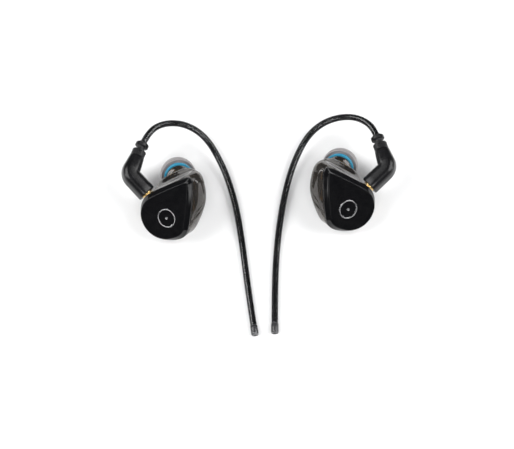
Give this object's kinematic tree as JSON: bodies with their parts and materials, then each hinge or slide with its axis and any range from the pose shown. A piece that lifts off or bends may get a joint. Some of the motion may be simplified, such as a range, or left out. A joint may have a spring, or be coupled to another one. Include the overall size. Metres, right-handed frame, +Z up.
{
  "type": "pair of over-ear in-ear monitors",
  "caption": "Mirrored in-ear monitors with black teardrop faceplates, smoky shells, angled nozzles with soft dome eartips, and swivelling plugs on preformed over-ear cable hooks.",
  "frame": {"origin": "middle of the pair on the table, measured without the ear-hook cables", "axes": "+X from the left monitor to the right one, +Y towards the eartips, +Z up from the table"},
  "size_m": [0.0884, 0.0749, 0.0224],
  "materials": {
    "smoke_resin": "gloss",
    "black_gloss": "mirror gloss",
    "silver": "bright",
    "gold_plate": "polished",
    "nozzle_brass": "polished",
    "steel_mesh": "etched",
    "blue_silicone": "soft sheen",
    "grey_silicone": "soft sheen",
    "white_plastic": "matte",
    "black_satin": "satin",
    "black_rubber": "matte",
    "driver_steel": "brushed",
    "magnet_grey": "plated",
    "diaphragm_film": "satin",
    "armature_gold": "satin",
    "clear_tube": "gloss",
    "board_green": "satin",
    "wire_enamel": "gloss",
    "clear_sleeve": "gloss",
    "black_braid": "woven",
    "clear_collar": "gloss"
  },
  "bodies": {
    "left_monitor": {"left_shell": "smoke_resin", "left_faceplate": "black_gloss", "left_emblem": "silver", "left_vent": "gold_plate", "left_nozzle": "nozzle_brass", "left_screen": "steel_mesh", "left_socket_barrel": "gold_plate", "left_socket_insulator": "white_plastic", "left_socket_contact": "gold_plate", "left_driver_basket": "driver_steel", "left_driver_magnet": "magnet_grey", "left_mid_driver": "armature_gold", "left_high_driver": "armature_gold", "left_mid_sound_tube": "clear_tube", "left_high_sound_tube": "clear_tube", "left_crossover_board": "board_green", "left_wires": "wire_enamel"},
    "left_eartip": {"left_eartip_core": "blue_silicone", "left_eartip_flange": "grey_silicone"},
    "left_snap_ring": {"left_plug_snap_ring": "gold_plate"},
    "left_diaphragm": {"left_driver_diaphragm": "diaphragm_film"},
    "left_ear_hook": {"left_plug_barrel": "gold_plate", "left_plug_insulator": "white_plastic", "left_plug_pin": "gold_plate", "left_plug_housing": "black_satin", "left_strain_relief": "black_rubber", "left_hook_sleeve": "clear_sleeve", "left_hook_cable": "black_braid", "left_hook_end_collar": "clear_collar"},
    "right_monitor": {"right_shell": "smoke_resin", "right_faceplate": "black_gloss", "right_emblem": "silver", "right_vent": "gold_plate", "right_nozzle": "nozzle_brass", "right_screen": "steel_mesh", "right_socket_barrel": "gold_plate", "right_socket_insulator": "white_plastic", "right_socket_contact": "gold_plate", "right_driver_basket": "driver_steel", "right_driver_magnet": "magnet_grey", "right_mid_driver": "armature_gold", "right_high_driver": "armature_gold", "right_mid_sound_tube": "clear_tube", "right_high_sound_tube": "clear_tube", "right_crossover_board": "board_green", "right_wires": "wire_enamel"},
    "right_eartip": {"right_eartip_core": "blue_silicone", "right_eartip_flange": "grey_silicone"},
    "right_snap_ring": {"right_plug_snap_ring": "gold_plate"},
    "right_diaphragm": {"right_driver_diaphragm": "diaphragm_film"},
    "right_ear_hook": {"right_plug_barrel": "gold_plate", "right_plug_insulator": "white_plastic", "right_plug_pin": "gold_plate", "right_plug_housing": "black_satin", "right_strain_relief": "black_rubber", "right_hook_sleeve": "clear_sleeve", "right_hook_cable": "black_braid", "right_hook_end_collar": "clear_collar"}
  },
  "joints": [
    {"name": "left_eartip_pull", "type": "slide", "parent": "left_monitor", "child": "left_eartip", "axis": [-0.1471, 0.6787, -0.7195], "range_m": [0, 0.009]},
    {"name": "left_diaphragm_travel", "type": "slide", "parent": "left_monitor", "child": "left_diaphragm", "axis": [0.4226, 0.6409, -0.6409], "range_m": [-0.0002, 0.0002], "stiffness_N_per_m": 200},
    {"name": "left_plug_pull", "type": "slide", "parent": "left_monitor", "child": "left_snap_ring", "axis": [-0.6819, 0.6906, 0.2409], "range_m": [0, 0.006]},
    {"name": "left_plug_swivel", "type": "hinge", "parent": "left_snap_ring", "child": "left_ear_hook", "pos_m": [-0.03497, -0.00365, 0.00845], "axis": [-0.6819, 0.6906, 0.2409], "range_deg": [-150, 12]},
    {"name": "right_eartip_pull", "type": "slide", "parent": "right_monitor", "child": "right_eartip", "axis": [0.1883, 0.6684, -0.7195], "range_m": [0, 0.009]},
    {"name": "right_diaphragm_travel", "type": "slide", "parent": "right_monitor", "child": "right_diaphragm", "axis": [-0.3827, 0.6655, -0.6409], "range_m": [-0.0002, 0.0002], "stiffness_N_per_m": 200},
    {"name": "right_plug_pull", "type": "slide", "parent": "right_monitor", "child": "right_snap_ring", "axis": [0.7228, 0.6477, 0.2409], "range_m": [0, 0.006]},
    {"name": "right_plug_swivel", "type": "hinge", "parent": "right_snap_ring", "child": "right_ear_hook", "pos_m": [0.03451, -0.00088, 0.00845], "axis": [0.7228, 0.6477, 0.2409], "range_deg": [-12, 150]},
    {"name": "pair_spacing", "type": "slide", "parent": "left_monitor", "child": "right_monitor", "axis": [1, 0, 0], "range_m": [0, 0.03]}
  ]
}
